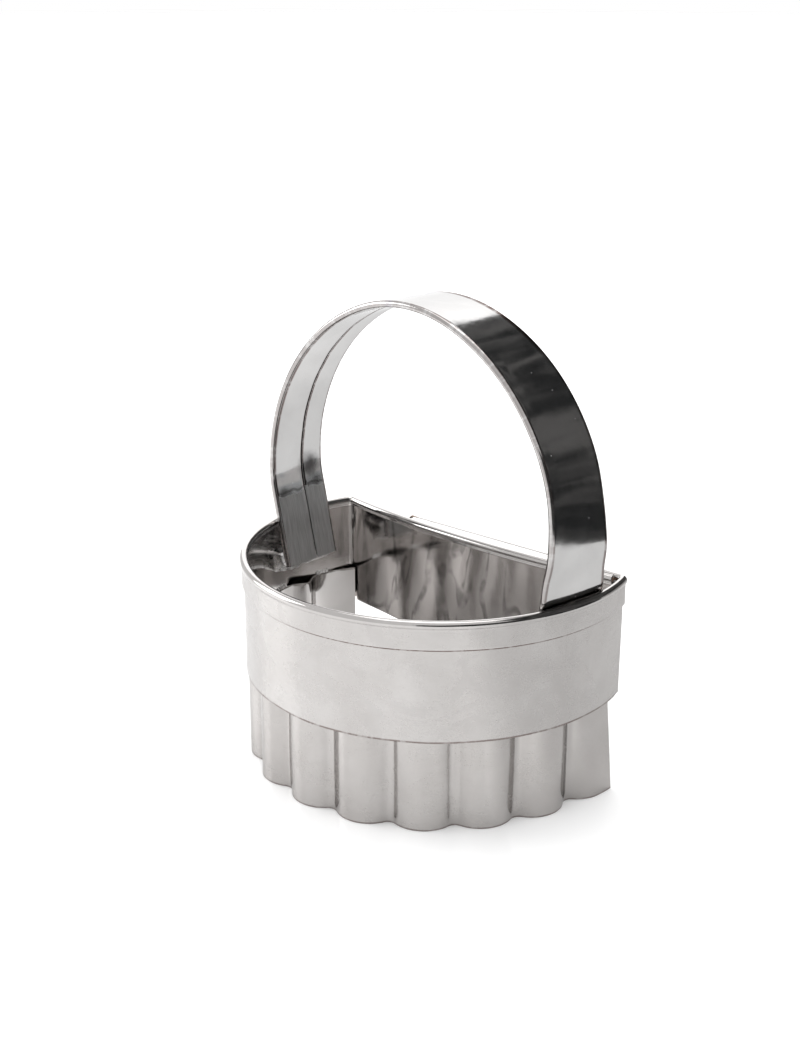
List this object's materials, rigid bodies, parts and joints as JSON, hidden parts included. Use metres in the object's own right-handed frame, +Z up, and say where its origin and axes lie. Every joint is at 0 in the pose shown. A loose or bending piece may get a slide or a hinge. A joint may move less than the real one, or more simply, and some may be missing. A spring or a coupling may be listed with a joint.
{
  "type": "fluted pastry cutter",
  "caption": "Half-round fluted pastry cutter in tinned sheet steel, with a hemmed collar, a lapped straight back and an arched strap handle.",
  "frame": {"origin": "middle of the cutter in plan, on the plane of the cutting edge", "axes": "+Z up towards the handle, -Y towards the round fluted front, +Y towards the straight back"},
  "size_m": [0.0814, 0.0552, 0.0964],
  "materials": {
    "collar_tin": "satin tinplate",
    "blade_tin": "satin tinplate",
    "strap_tin": "bright tinplate",
    "wire_steel": "bare, slightly rusted",
    "solder": "dull, uneven"
  },
  "bodies": {
    "root": {"collar_band": "collar_tin", "rim_wire": "wire_steel", "fluted_blade": "blade_tin", "handle_strap": "strap_tin", "handle_solder_left": "solder", "handle_solder_right": "solder", "blade_solder": "solder", "lap_solder": "solder"}
  },
  "joints": []
}
